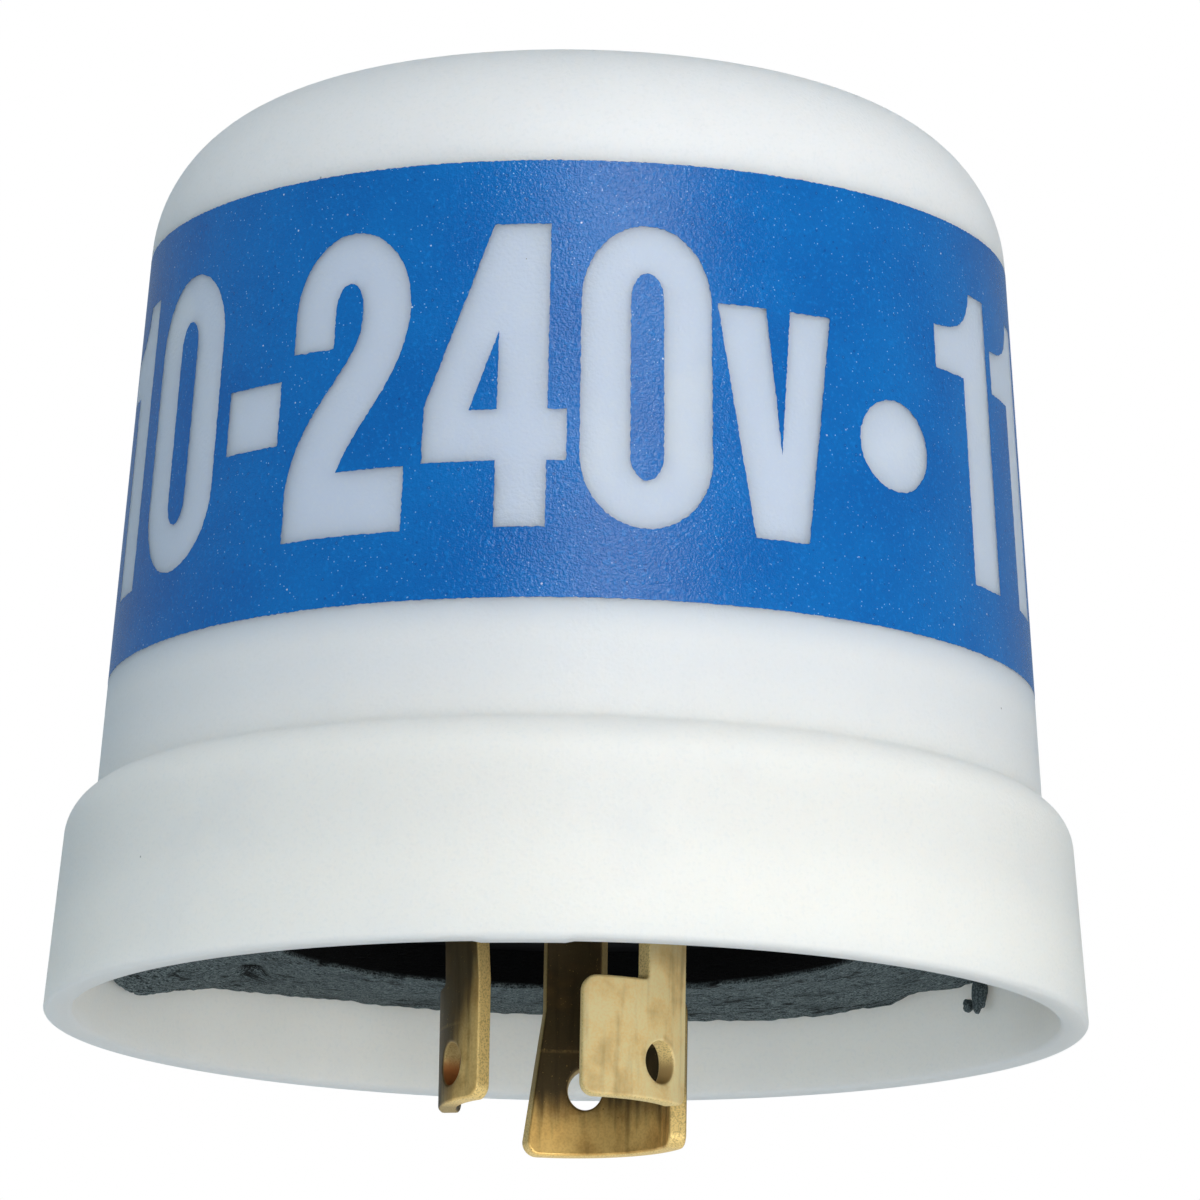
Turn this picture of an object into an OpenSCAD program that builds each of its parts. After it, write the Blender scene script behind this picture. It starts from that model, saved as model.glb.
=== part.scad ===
// Twist-lock photocell switch: a moulded white cover with a printed band, a black base with
// a foam gasket and three curved locking blades, and a relay circuit with a light sensor inside.
// The origin is on the axis, at the centre of the gasket's seat, and +Z points up through the dome.

/* [Cover] */
// Outer diameter of the skirt at its rim
rim_d = 84; // [80:0.5:96]
// Height of the skirt, from its rim to the top of the shoulder
skirt_h = 17.9; // [14:0.1:24]
// Draft of the skirt's wall, in degrees
skirt_draft = 5; // [2:0.25:7]
// Wall of the skirt
skirt_wall = 2.3; // [1.6:0.1:3]
// Radius of the rounded shoulder
shoulder_r = 4; // [2.5:0.25:5]
// Wall over the ledge that the base is welded to
ledge_wall = 2.5; // [1.8:0.1:4]
// How far the dome steps in from the skirt at the shoulder
dome_step = 2.2; // [1.6:0.1:3]
// Height of the dome above the shoulder
dome_h = 57.9; // [48:0.1:70]
// Draft of the dome's wall, in degrees
dome_draft = 4; // [2:0.25:6]
// Wall of the dome
dome_wall = 2.1; // [1.6:0.1:3]
// Radius of the dome's rounded top corner
corner_r = 12.2; // [8:0.1:16]
// Radius of the shallow crown
crown_r = 184; // [140:1:260]
// Bevel on the rim's edges
rim_edge = 0.4; // [0.2:0.1:0.8]

/* [Print] */
// Gap from the shoulder up to the printed band
band_foot = 9; // [4:0.5:16]
// Gap from the band up to the start of the rounded corner
band_head = 0.8; // [0.4:0.1:6]
// Thickness of the ink
ink_t = 0.1; // [0.06:0.01:0.15]
// Gap between the ink and the dome
ink_gap = 0.05; // [0.04:0.01:0.1]

/* [Gasket] */
// Thickness of the gasket
gasket_t = 3.2; // [2:0.1:5]
// Diameter of the hole in the gasket
gasket_hole_d = 50; // [40:1:56]
// Gap between the gasket and the skirt
gasket_gap = 0.2; // [0.1:0.05:0.6]
// Direction of the torn shred at the gasket's edge, in degrees
shred_turn = 28; // [0:1:359]
// Width of the torn shred along the edge
shred_w = 4; // [2:0.5:8]
// Thickness of the torn shred
shred_t = 0.9; // [0.5:0.1:2]
// How far the torn shred hangs below the seat
shred_drop = 2.3; // [1:0.1:4]

/* [Base] */
// Height of the base, from its underside to its welded rim
base_h = 5.2; // [4:0.1:7]
// Thickness of the base's floor
base_floor = 2.4; // [1.6:0.1:3.2]
// Wall of the base's rim
base_wall = 2; // [1.4:0.1:3]
// Gap between the base's rim and the skirt
base_gap = 0.15; // [0.05:0.05:0.5]
// Wall of the hub outside the blades
hub_wall = 3.3; // [2:0.1:5]
// Height of the hub above the base's underside
hub_h = 5.8; // [4.6:0.1:7]
// Number of ribs between the hub and the rim
rib_count = 6; // [3:1:12]
// Thickness of a rib
rib_t = 1.6; // [1:0.1:2.5]
// Height of the board posts above the floor
post_h = 8.4; // [7:0.1:12]
// Diameter of the board posts
post_d = 6.4; // [5:0.1:7]

/* [Blades] */
// Outer diameter of the circle that the blades stand on
blade_d = 20.3; // [19:0.1:22]
// Thickness of the blades
blade_t = 1.5; // [1:0.1:2]
// Direction of the middle of the line blade's stem, in degrees
blade_turn = -34; // [-180:1:180]
// Width of a stem, along the outer arc
stem_w = 5.4; // [4:0.1:7]
// Height of a foot
foot_h = 9.6; // [7:0.1:11]
// Width of the line and load feet, along the outer arc
foot_w = 11.3; // [9:0.1:14]
// How far the line and load blades reach below the seat
blade_reach = 14; // [12:0.1:18]
// Width of the neutral foot, along the outer arc
neutral_foot_w = 15.6; // [12:0.1:18]
// How far the neutral blade reaches below the seat
neutral_reach = 16.4; // [13:0.05:20]
// Extra height of the neutral foot
neutral_extra_h = 2.4; // [0:0.05:3]
// How far the neutral foot flares out behind its stem
neutral_flare = 1.6; // [0.4:0.1:2.5]
// Radius of the feet's corners
foot_corner_r = 1.2; // [0.6:0.1:2]
// Diameter of the hole in each foot
hole_d = 3.4; // [2.4:0.1:4.2]
// Distance of the hole from the back edge of the stem, along the outer arc
hole_in = 3.9; // [3:0.1:5]
// Height of the hole's centre above the bottom of the line and load feet
hole_up = 3.1; // [2.6:0.1:5]
// Width of the ears that lock a blade in the hub, on each side of the stem
ear_w = 0.9; // [0.4:0.1:1.5]
// Height of the ears
ear_h = 1.6; // [1:0.1:2.2]
// Width of the solder tail
tail_w = 3.2; // [2:0.1:4]
// How far a tail stands out of the board
tail_out = 1.5; // [1:0.1:3]
// Gap round a blade in the hub and in the board
slot_gap = 0.1; // [0.05:0.05:0.3]

/* [Board] */
// Diameter of the circuit board
board_d = 62; // [60:1:66]
// Thickness of the board
board_t = 1.6; // [1:0.1:2.4]
// Distance of the posts' centres from the board's edge
post_in = 4; // [3.6:0.1:5]
// Diameter of the components' leads
lead_d = 0.6; // [0.4:0.05:0.8]
// Gap round a lead in the board
lead_gap = 0.1; // [0.05:0.05:0.2]
// How far a lead stands out under the board
lead_out = 1.5; // [1.2:0.1:2.5]
// How far a lead runs up into its part
lead_in = 1; // [0.4:0.1:1.5]
// Radius of a soldered lead's fillet at the board
solder_r = 0.95; // [0.7:0.05:1]
// Height of a soldered lead's fillet
solder_h = 1; // [0.6:0.1:1.1]
// Radius of a soldered tail's mound at the board
mound_r = 2.6; // [2.4:0.1:3]
// Diameter of the screws that hold the board
screw_d = 2.8; // [2:0.1:3.5]
// Length of the screws below the head
screw_l = 8; // [6:0.5:9]
// Diameter of the screws' heads
screw_head_d = 5.5; // [4.5:0.1:6]
// Height of the screws' heads
screw_head_h = 2; // [1.4:0.1:2.6]
// Taper of the screws' heads, on each side
screw_head_taper = 0.5; // [0.2:0.1:1]
// Width and depth of the slot in the screws' heads
screw_slot = 0.7; // [0.4:0.1:1]
// Gap round a screw in the board
screw_gap = 0.2; // [0.1:0.05:0.4]

/* [Circuit] */
// Length of the sealed relay
relay_l = 19; // [16:0.5:20]
// Width of the sealed relay
relay_w = 15; // [12:0.5:17]
// Height of the sealed relay
relay_h = 15.5; // [10:0.5:24]
// Bevel on the relay's upright edges
relay_edge = 0.75; // [0.25:0.25:1.5]
// Distance of the relay's pins from its sides
relay_pin_in = 2.4; // [1.6:0.1:3]
// Width of the film capacitor
film_w = 8; // [5:0.5:9]
// Length of the film capacitor
film_l = 18; // [13:0.5:20]
// Height of the film capacitor
film_h = 14.5; // [9:0.5:20]
// Distance of the film capacitor's leads from its ends
film_pin_in = 1.5; // [1:0.1:3]
// Diameter of the varistor's disc
varistor_d = 14; // [10:0.5:16]
// Thickness of the varistor's disc
varistor_t = 4.5; // [3:0.1:6]
// Height of the disc's lowest point above the board
varistor_lift = 2; // [1:0.1:4]
// Distance between the varistor's leads
varistor_pitch = 7; // [5:0.1:8]
// Diameter of the smoothing capacitor's can
can_d = 10; // [8:0.5:12]
// Height of the smoothing capacitor's can
can_h = 17; // [12:0.5:25]
// Distance between the smoothing capacitor's leads
can_pitch = 5; // [3:0.1:6]
// Diameter of the timing capacitor's can
timing_d = 5; // [4:0.1:6]
// Height of the timing capacitor's can
timing_h = 11; // [8:0.5:14]
// Distance between the timing capacitor's leads
timing_pitch = 2.5; // [2:0.1:2.8]
// Bevel on top of the cans, and depth of their crimped groove
can_bevel = 0.4; // [0.2:0.1:0.6]
// Height of the crimped groove above the board
can_groove_z = 1.4; // [1:0.1:3]
// Diameter of a diode's body
diode_d = 2.7; // [2:0.1:3.2]
// Length of a diode's body
diode_l = 5.2; // [4:0.1:6.4]
// Distance between neighbouring diodes
diode_pitch = 5; // [4:0.1:5.5]
// Diameter of a resistor's body
resistor_d = 2.4; // [1.8:0.1:2.8]
// Length of a resistor's body
resistor_l = 6.3; // [5:0.1:7]
// Diameter of the inrush resistor's body
inrush_d = 3.6; // [2.8:0.1:4.2]
// Length of the inrush resistor's body
inrush_l = 9; // [7:0.1:10]
// Span between the leads of a lying diode or resistor
lead_span = 10; // [9:0.1:12]
// Span between the leads of the inrush resistor
inrush_span = 12.5; // [12:0.1:14]
// Diameter of the transistor's body
transistor_d = 4.8; // [4.2:0.1:5.4]
// Height of the transistor's body
transistor_h = 4.8; // [4:0.1:6]
// Distance of the transistor's flat face from its middle
transistor_flat = 1.2; // [0.8:0.1:1.8]
// Height of the transistor's body above the board
transistor_lift = 1.6; // [1:0.1:4]
// Distance between the transistor's leads
transistor_pitch = 2; // [1.95:0.05:2]

/* [Layout] */
// Distance of the relay's middle from the board's front edge
relay_in = 11.8; // [11:0.1:12]
// Distance of the film capacitor's middle from the board's left edge
film_in = 11; // [10:0.1:12]
// Distance of the film capacitor's middle behind the board's centre
film_y = 2; // [1:0.1:3]
// Distance of the varistor's middle from the board's right edge
varistor_in = 12; // [11:0.1:13]
// Distance of the varistor's middle ahead of the board's centre
varistor_y = 7.4; // [7:0.1:9]
// Distance of the smoothing capacitor's middle from the board's right edge
can_in = 11.5; // [10.5:0.1:11.5]
// Distance of the smoothing capacitor's middle behind the board's centre
can_y = 6.5; // [6:0.1:7]
// Distance of the timing capacitor's middle from the board's right edge
timing_in = 20; // [19.5:0.1:21]
// Distance of the timing capacitor's middle behind the board's centre
timing_y = 5; // [4:0.1:6]
// Distance of the diodes' middles from the board's back edge
diode_in = 10.8; // [10.4:0.1:12]
// Distance of the small resistors' middles from the board's front or back edge
resistor_in = 13.5; // [12:0.1:14]
// Distance of the small resistors to the side of the board's centre
resistor_x = 12; // [11.7:0.1:12.5]
// Distance of the zener diode's middle from the board's front edge
zener_in = 14.5; // [14:0.1:15]
// Distance of the zener diode to the left of the board's centre
zener_x = 18; // [17.5:0.1:18.5]
// Distance of the inrush resistor's middle from the board's front edge
inrush_in = 14; // [13:0.1:15]
// Distance of the inrush resistor to the left of the board's centre
inrush_x = 13.5; // [12.5:0.1:14]
// Distance of the transistor's middle from the board's back edge
transistor_in = 13.7; // [13:0.1:14.5]
// Distance of the transistor to the right of the board's centre
transistor_x = 17.5; // [17:0.1:18]

/* [Light sensor] */
// Diameter of the light sensor's cell
sensor_d = 11; // [9:0.5:13]
// Width of the cell across its flats
sensor_flats = 9.4; // [8:0.1:10]
// Thickness of the cell
sensor_t = 2.2; // [1.6:0.1:3]
// Gap from the cell's face up to the inside of the crown
sensor_gap = 18; // [10:0.5:26]
// Distance between the cell's leads
sensor_pitch = 3.4; // [2.6:0.1:4]
// Outer diameter of the holder's stem
stalk_d = 9; // [8:0.1:10]
// Wall of the holder
holder_wall = 1.6; // [1.2:0.1:2]
// Height of the holder's foot
stalk_foot_h = 2.5; // [1.5:0.1:4]
// Gap round the cell in its holder
cell_gap = 0.1; // [0.05:0.05:0.3]

/* [Hidden] */
$fn = 96;

// Overrun of a cut past the face that it leaves
past = 1;
arc_steps = 20;
small_arc_steps = 8;
crown_steps = 6;

// Heights, from the seat up
base_z = gasket_t;
floor_z = base_z + base_floor;
ledge_z = base_z + base_h;
hub_z = base_z + hub_h;
skirt_top = ledge_z + ledge_wall;
rim_z = skirt_top - skirt_h;
dome_top = skirt_top + dome_h;
board_z = floor_z + post_h;
board_top = board_z + board_t;

// Radii of the cover's walls at a height, offset inwards from the outer face
function skirt_at(z, inset = 0) =
    rim_d / 2 - (z - rim_z) * tan(skirt_draft) - inset / cos(skirt_draft);
function dome_at(z, inset = 0) =
    skirt_at(skirt_top) - dome_step - (z - skirt_top) * tan(dome_draft) - inset / cos(dome_draft);

// Points on an arc in the profile's plane
function arc(centre, r, from, to, steps) =
    [for (i = [0 : steps]) let (turn = from + (to - from) * i / steps) centre + r * [cos(turn), sin(turn)]];

// The corner's centre lies a corner radius inside the dome's wall and inside the crown
crown_z = dome_top - crown_r;
corner_reach = crown_r - corner_r;
wall_foot = dome_at(0, corner_r);
wall_lean = tan(dome_draft);
lean_sum = wall_foot * wall_lean + crown_z;
lean_sq = 1 + wall_lean * wall_lean;
span_sq = wall_foot * wall_foot + crown_z * crown_z - corner_reach * corner_reach;
corner_z = (lean_sum + sqrt(lean_sum * lean_sum - lean_sq * span_sq)) / lean_sq;
corner_x = wall_foot - wall_lean * corner_z;
crown_turn = atan2(corner_z - crown_z, corner_x);
wall_top = corner_z + corner_r * sin(dome_draft);

// The dome's section at an inset from its outer face, open at the bottom height
function dome_section(bottom, inset) = concat(
    [[0, bottom], [dome_at(bottom, inset), bottom]],
    arc([corner_x, corner_z], corner_r - inset, dome_draft, crown_turn, arc_steps),
    [for (i = [1 : crown_steps - 1]) let (turn = crown_turn + (90 - crown_turn) * i / crown_steps)
        [0, crown_z] + (crown_r - inset) * [cos(turn), sin(turn)]],
    [[0, crown_z + crown_r - inset]]);

shoulder_z = skirt_top - shoulder_r;
shoulder_x = skirt_at(shoulder_z, shoulder_r);

// Blade angles, from widths along the outer arc
blade_r = blade_d / 2;
function turn_of(width) = width / blade_r * 180 / PI;
// Directions of the line, neutral and load blades, a third of a turn apart
blade_turns = [for (i = [0 : 2]) blade_turn + i * 120];
tail_top = board_top + tail_out;

// Places of the parts on the board, each kept at its distance from the nearest edge
board_r = board_d / 2;
post_ring = board_r - post_in;
screw_turns = [135, 315];
rest_turns = [10, 190];
relay_at = [0, relay_in - board_r];
film_at = [film_in - board_r, film_y];
varistor_at = [board_r - varistor_in, -varistor_y];
can_at = [board_r - can_in, can_y];
timing_at = [board_r - timing_in, timing_y];
diode_row_at = [0, board_r - diode_in];
diode_count = 4;
resistor_places = [for (side = [[-1, 1], [1, 1], [1, -1]])
    [side.x * resistor_x, side.y * (board_r - resistor_in)]];
zener_at = [-zener_x, zener_in - board_r];
inrush_at = [-inrush_x, inrush_in - board_r];
transistor_at = [transistor_x, board_r - transistor_in];

// Lead places under each part
relay_pins = [for (p = [[-1, -1], [-1, 1], [1, -1], [1, 0], [1, 1]])
    relay_at + [p.x * (relay_l / 2 - relay_pin_in), p.y * (relay_w / 2 - relay_pin_in)]];
film_pins = [for (side = [-1, 1]) film_at + [0, side * (film_l / 2 - film_pin_in)]];
varistor_pins = [for (side = [-1, 1]) varistor_at + [0, side * varistor_pitch / 2]];
can_pins = [for (side = [-1, 1]) can_at + [side * can_pitch / 2, 0]];
timing_pins = [for (side = [-1, 1]) timing_at + [side * timing_pitch / 2, 0]];
diode_places = [for (i = [0 : diode_count - 1])
    diode_row_at + [(i - (diode_count - 1) / 2) * diode_pitch, 0]];
transistor_pins = [for (i = [-1 : 1]) transistor_at + [i * transistor_pitch, 0]];
sensor_pins = [for (side = [-1, 1]) [side * sensor_pitch / 2, 0]];
function span_pins(place, span) = [for (side = [-1, 1]) place + [0, side * span / 2]];
lying_places = concat(diode_places, [zener_at], resistor_places);
board_pins = concat(relay_pins, film_pins, varistor_pins, can_pins, timing_pins, transistor_pins,
    sensor_pins, span_pins(inrush_at, inrush_span),
    [for (p = lying_places) each span_pins(p, lead_span)]);

// Light sensor heights
sensor_top = dome_top - dome_wall - sensor_gap;
sensor_z = sensor_top - sensor_t;
cup_d = sensor_d + 2 * (cell_gap + holder_wall);
cup_z = sensor_z - holder_wall;

// A piece of the blades' ring between two angles and two heights, grown across its thickness
module ring_piece(from, to, low, high, grow = 0) {
    rotate([0, 0, from])
        rotate_extrude(angle = to - from)
            translate([blade_r - blade_t - grow, low])
                square([blade_t + 2 * grow, high - low]);
}

// A cut through the ring along the radius at an angle; its outline is drawn across and up
module radial_cut(turn, outline) {
    rotate([0, 0, turn])
        rotate([90, 0, 90])
            linear_extrude(blade_r + past)
                polygon(outline);
}

// One edge of a stem with its locking ear and solder tail, as points out from the edge and up
function stem_edge(low, grow = 0) =
    let (ear_low = base_z + (hub_h - ear_h) / 2, tail_in = (stem_w - tail_w) / 2)
    [[grow, low], [grow, ear_low - grow], [ear_w + grow, ear_low - grow],
        [ear_w + grow, ear_low + ear_h + grow], [grow, ear_low + ear_h + grow], [grow, hub_z],
        [grow - tail_in, hub_z], [grow - tail_in, tail_top + past]];

// Cuts the ring away outside an edge, on the side that across points to, as far as reach
module edge_cut(turn, edge, across, reach) {
    outside = [[reach, tail_top + past], [reach, edge[0].y]];
    radial_cut(turn, [for (p = concat(edge, outside)) [across * p.x, p.y]]);
}

// A quarter round from a foot's bottom or top edge to its end, as points in from the end and up
function foot_round(height, up) =
    [for (i = [0 : small_arc_steps]) let (a = 90 * i / small_arc_steps)
        [foot_corner_r * (1 - sin(a)), height + up * foot_corner_r * (1 - cos(a))]];

// The solder tail alone, where it passes the board
module tail(grow = 0) {
    half = turn_of(tail_w) / 2 + turn_of(grow);
    ring_piece(-half, half, hub_z, tail_top, grow);
}

// The room that a blade takes up in the hub
module hub_slot() {
    half = turn_of(stem_w) / 2;
    reach = half + turn_of(ear_w + past);
    edge = stem_edge(base_z - past, slot_gap);
    difference() {
        ring_piece(-reach, reach, base_z - past, tail_top, slot_gap);
        edge_cut(-half, edge, -1, ear_w + 2 * past);
        edge_cut(half, edge, 1, ear_w + 2 * past);
    }
}

// A stem with a foot that runs forward from it, rounded at its corners and pierced near its back.
// Extra height goes to the foot below the hole.
// The middle of the stem faces +X until the blade is turned to its place.
module blade(reach, foot_width, extra_h = 0, flare = 0) {
    back = turn_of(stem_w) / 2;
    front = back - turn_of(foot_width);
    foot_top = foot_h + extra_h - reach;
    hole_z = hole_up + extra_h - reach;
    behind = max(flare, ear_w) + past;
    low = -reach - past;
    back_corner = [for (p = foot_round(-reach, 1)) [flare - p.x, p.y]];
    back_edge = concat([[flare - foot_corner_r, low]], back_corner, stem_edge(foot_top));
    front_end = concat([[foot_corner_r, low]], foot_round(-reach, 1),
        [for (i = [small_arc_steps : -1 : 0]) foot_round(foot_top, -1)[i]],
        [[foot_corner_r, foot_top + past], [-2 * past, foot_top + past], [-2 * past, low]]);
    difference() {
        difference() {
            ring_piece(front - turn_of(past), back + turn_of(behind), -reach, tail_top);
            edge_cut(back, back_edge, 1, behind + past);
            edge_cut(back - turn_of(stem_w), stem_edge(foot_top), -1, foot_width);
        }
        radial_cut(front, front_end);
        rotate([0, 0, back - turn_of(hole_in)])
            translate([0, 0, hole_z])
                rotate([0, 90, 0])
                    cylinder(d = hole_d, h = blade_r + past);
    }
}

// A straight lead down through the board from a height
module lead(place, top) {
    translate([place.x, place.y, board_z - lead_out])
        cylinder(d = lead_d, h = top - board_z + lead_out);
}

// A part that lies on the board along Y, with its leads bent down into it
module lying_part(place, body_d, body_l, span) {
    bend_r = lead_d;
    axis_z = board_top + body_d / 2;
    translate([place.x, place.y, axis_z])
        rotate([90, 0, 0])
            cylinder(d = body_d, h = body_l, center = true);
    for (side = [-1, 1]) {
        run = span / 2 - bend_r - body_l / 2;
        lead([place.x, place.y + side * span / 2], axis_z - bend_r);
        translate([place.x, place.y + side * (span / 2 - bend_r), axis_z - bend_r])
            rotate([90, 0, side * 90])
                rotate_extrude(angle = 90)
                    translate([bend_r, 0])
                        circle(d = lead_d);
        translate([place.x, place.y + side * body_l / 2, axis_z])
            rotate([-side * 90, 0, 0])
                cylinder(d = lead_d, h = run);
    }
}

// A rolled metal can with a bevelled top and a crimped groove near its foot
module can(place, diameter, height) {
    r = diameter / 2;
    neck = r - can_bevel;
    translate([place.x, place.y, board_top])
        rotate_extrude()
            polygon([[0, 0], [r, 0], [r, can_groove_z], [neck, can_groove_z + can_bevel],
                [r, can_groove_z + 2 * can_bevel], [r, height - can_bevel], [neck, height], [0, height]]);
}

module dome_cover() {
    color([0.93, 0.94, 0.95])
        rotate_extrude()
            difference() {
                union() {
                    polygon(dome_section(shoulder_z, 0));
                    polygon(concat(
                        [[0, rim_z], [skirt_at(rim_z) - rim_edge, rim_z]],
                        [[skirt_at(rim_z + rim_edge), rim_z + rim_edge]],
                        arc([shoulder_x, shoulder_z], shoulder_r, skirt_draft, 90, small_arc_steps),
                        [[0, skirt_top]]));
                }
                polygon(dome_section(ledge_z - past, dome_wall));
                polygon([[0, rim_z - past], [skirt_at(rim_z, skirt_wall) + rim_edge + past, rim_z - past],
                    [skirt_at(rim_z, skirt_wall) + rim_edge, rim_z],
                    [skirt_at(rim_z + rim_edge, skirt_wall), rim_z + rim_edge],
                    [skirt_at(ledge_z, skirt_wall), ledge_z], [0, ledge_z]]);
            }
}

module printed_band() {
    low = skirt_top + band_foot;
    high = wall_top - band_head;
    outside = -ink_gap - ink_t;
    color([0.03, 0.37, 0.7])
        rotate_extrude()
            polygon([[dome_at(low, -ink_gap), low], [dome_at(low, outside), low],
                [dome_at(high, outside), high], [dome_at(high, -ink_gap), high]]);
}

module gasket() {
    edge = skirt_at(base_z, skirt_wall) - gasket_gap;
    shred = shred_w / edge * 180 / PI;
    color([0.24, 0.29, 0.3]) {
        difference() {
            cylinder(r = edge, h = gasket_t);
            translate([0, 0, -past])
                cylinder(d = gasket_hole_d, h = gasket_t + 2 * past);
        }
        rotate([0, 0, shred_turn - shred / 2])
            rotate_extrude(angle = shred)
                translate([edge - shred_t - gasket_gap, -shred_drop])
                    square([shred_t, shred_drop + gasket_t / 2]);
    }
}

module base_plate() {
    edge = skirt_at(base_z, skirt_wall + base_gap);
    top_edge = skirt_at(ledge_z, skirt_wall + base_gap);
    inner = top_edge - base_wall;
    hub_r = blade_r + hub_wall;
    color([0.06, 0.06, 0.065])
        difference() {
            union() {
                rotate_extrude()
                    polygon([[0, base_z], [edge, base_z], [top_edge, ledge_z], [inner, ledge_z],
                        [inner, floor_z], [0, floor_z]]);
                translate([0, 0, base_z])
                    cylinder(r = hub_r, h = hub_h);
                for (i = [0 : rib_count - 1])
                    rotate([0, 0, i * 360 / rib_count])
                        translate([hub_r - past, -rib_t / 2, floor_z - base_floor / 2])
                            cube([inner + base_wall / 2 - hub_r + past, rib_t, ledge_z - floor_z]);
                for (turn = concat(screw_turns, rest_turns))
                    rotate([0, 0, turn])
                        translate([post_ring, 0, base_z])
                            cylinder(d = post_d, h = board_z - base_z);
            }
            for (turn = blade_turns)
                rotate([0, 0, turn])
                    hub_slot();
            for (turn = screw_turns)
                rotate([0, 0, turn])
                    translate([post_ring, 0, board_top - screw_l])
                        cylinder(d = screw_d, h = screw_l);
        }
}

module line_blade() {
    color([0.8, 0.68, 0.42])
        rotate([0, 0, blade_turns[0]])
            blade(blade_reach, foot_w);
}

module load_blade() {
    color([0.8, 0.68, 0.42])
        rotate([0, 0, blade_turns[2]])
            blade(blade_reach, foot_w);
}

module neutral_blade() {
    color([0.8, 0.68, 0.42])
        rotate([0, 0, blade_turns[1]])
            blade(neutral_reach, neutral_foot_w, neutral_extra_h, neutral_flare);
}

module circuit_board() {
    color([0.16, 0.38, 0.22])
        difference() {
            translate([0, 0, board_z])
                cylinder(d = board_d, h = board_t);
            for (turn = blade_turns)
                rotate([0, 0, turn])
                    tail(slot_gap);
            for (turn = screw_turns)
                rotate([0, 0, turn])
                    translate([post_ring, 0, board_z - past])
                        cylinder(d = screw_d + 2 * screw_gap, h = board_t + 2 * past);
            for (p = board_pins)
                translate([p.x, p.y, board_z - past])
                    cylinder(d = lead_d + 2 * lead_gap, h = board_t + 2 * past);
        }
}

module board_screws() {
    top_d = screw_head_d - 2 * screw_head_taper;
    color([0.72, 0.73, 0.74])
        for (turn = screw_turns)
            rotate([0, 0, turn])
                translate([post_ring, 0, board_top])
                    difference() {
                        union() {
                            translate([0, 0, -screw_l])
                                cylinder(d = screw_d, h = screw_l);
                            cylinder(d1 = screw_head_d, d2 = top_d, h = screw_head_h);
                        }
                        translate([-screw_head_d, -screw_slot / 2, screw_head_h - screw_slot])
                            cube([2 * screw_head_d, screw_slot, screw_slot + past]);
                    }
}

module solder_joints() {
    color([0.78, 0.79, 0.8]) {
        for (p = board_pins)
            translate([p.x, p.y, board_z - solder_h])
                difference() {
                    cylinder(r1 = lead_d, r2 = solder_r, h = solder_h);
                    translate([0, 0, -past])
                        cylinder(d = lead_d, h = solder_h + 2 * past);
                }
        for (turn = blade_turns)
            rotate([0, 0, turn])
                difference() {
                    translate([blade_r - blade_t / 2, 0, board_top])
                        cylinder(r1 = mound_r, r2 = mound_r - tail_out / 2, h = tail_out / 2);
                    tail();
                }
    }
}

module relay() {
    x = relay_l / 2;
    y = relay_w / 2;
    e = relay_edge;
    color([0.12, 0.2, 0.42]) {
        translate([relay_at.x, relay_at.y, board_top])
            linear_extrude(relay_h)
                polygon([[x, y - e], [x - e, y], [e - x, y], [-x, y - e],
                    [-x, e - y], [e - x, -y], [x - e, -y], [x, e - y]]);
        for (p = relay_pins)
            lead(p, board_top + lead_in);
    }
}

module film_capacitor() {
    color([0.86, 0.7, 0.16]) {
        translate([film_at.x - film_w / 2, film_at.y - film_l / 2, board_top])
            cube([film_w, film_l, film_h]);
        for (p = film_pins)
            lead(p, board_top + lead_in);
    }
}

module smoothing_capacitor() {
    color([0.1, 0.11, 0.14]) {
        can(can_at, can_d, can_h);
        for (p = can_pins)
            lead(p, board_top + lead_in);
    }
}

module timing_capacitor() {
    color([0.1, 0.11, 0.14]) {
        can(timing_at, timing_d, timing_h);
        for (p = timing_pins)
            lead(p, board_top + lead_in);
    }
}

module surge_varistor() {
    disc_z = board_top + varistor_lift + varistor_d / 2;
    color([0.1, 0.25, 0.6]) {
        translate([varistor_at.x, varistor_at.y, disc_z])
            rotate([0, 90, 0])
                cylinder(d = varistor_d, h = varistor_t, center = true);
        for (p = varistor_pins)
            lead(p, disc_z);
    }
}

module rectifier_diodes() {
    color([0.09, 0.09, 0.1])
        for (p = diode_places)
            lying_part(p, diode_d, diode_l, lead_span);
}

module zener_diode() {
    color([0.75, 0.36, 0.16])
        lying_part(zener_at, diode_d, diode_l, lead_span);
}

module resistors() {
    color([0.76, 0.66, 0.48])
        for (p = resistor_places)
            lying_part(p, resistor_d, resistor_l, lead_span);
}

module inrush_resistor() {
    color([0.42, 0.55, 0.6])
        lying_part(inrush_at, inrush_d, inrush_l, inrush_span);
}

module switching_transistor() {
    body_z = board_top + transistor_lift;
    color([0.09, 0.09, 0.1]) {
        translate([transistor_at.x, transistor_at.y, body_z])
            difference() {
                cylinder(d = transistor_d, h = transistor_h);
                translate([-transistor_d, -transistor_d - transistor_flat, -past])
                    cube([2 * transistor_d, transistor_d, transistor_h + 2 * past]);
            }
        for (p = transistor_pins)
            lead(p, body_z + lead_in);
    }
}

module light_sensor() {
    color([0.78, 0.5, 0.2]) {
        translate([0, 0, sensor_z])
            intersection() {
                cylinder(d = sensor_d, h = sensor_t);
                translate([-sensor_flats / 2, -sensor_d, 0])
                    cube([sensor_flats, 2 * sensor_d, sensor_t]);
            }
        for (p = sensor_pins)
            lead(p, sensor_z + sensor_t / 2);
    }
}

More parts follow.
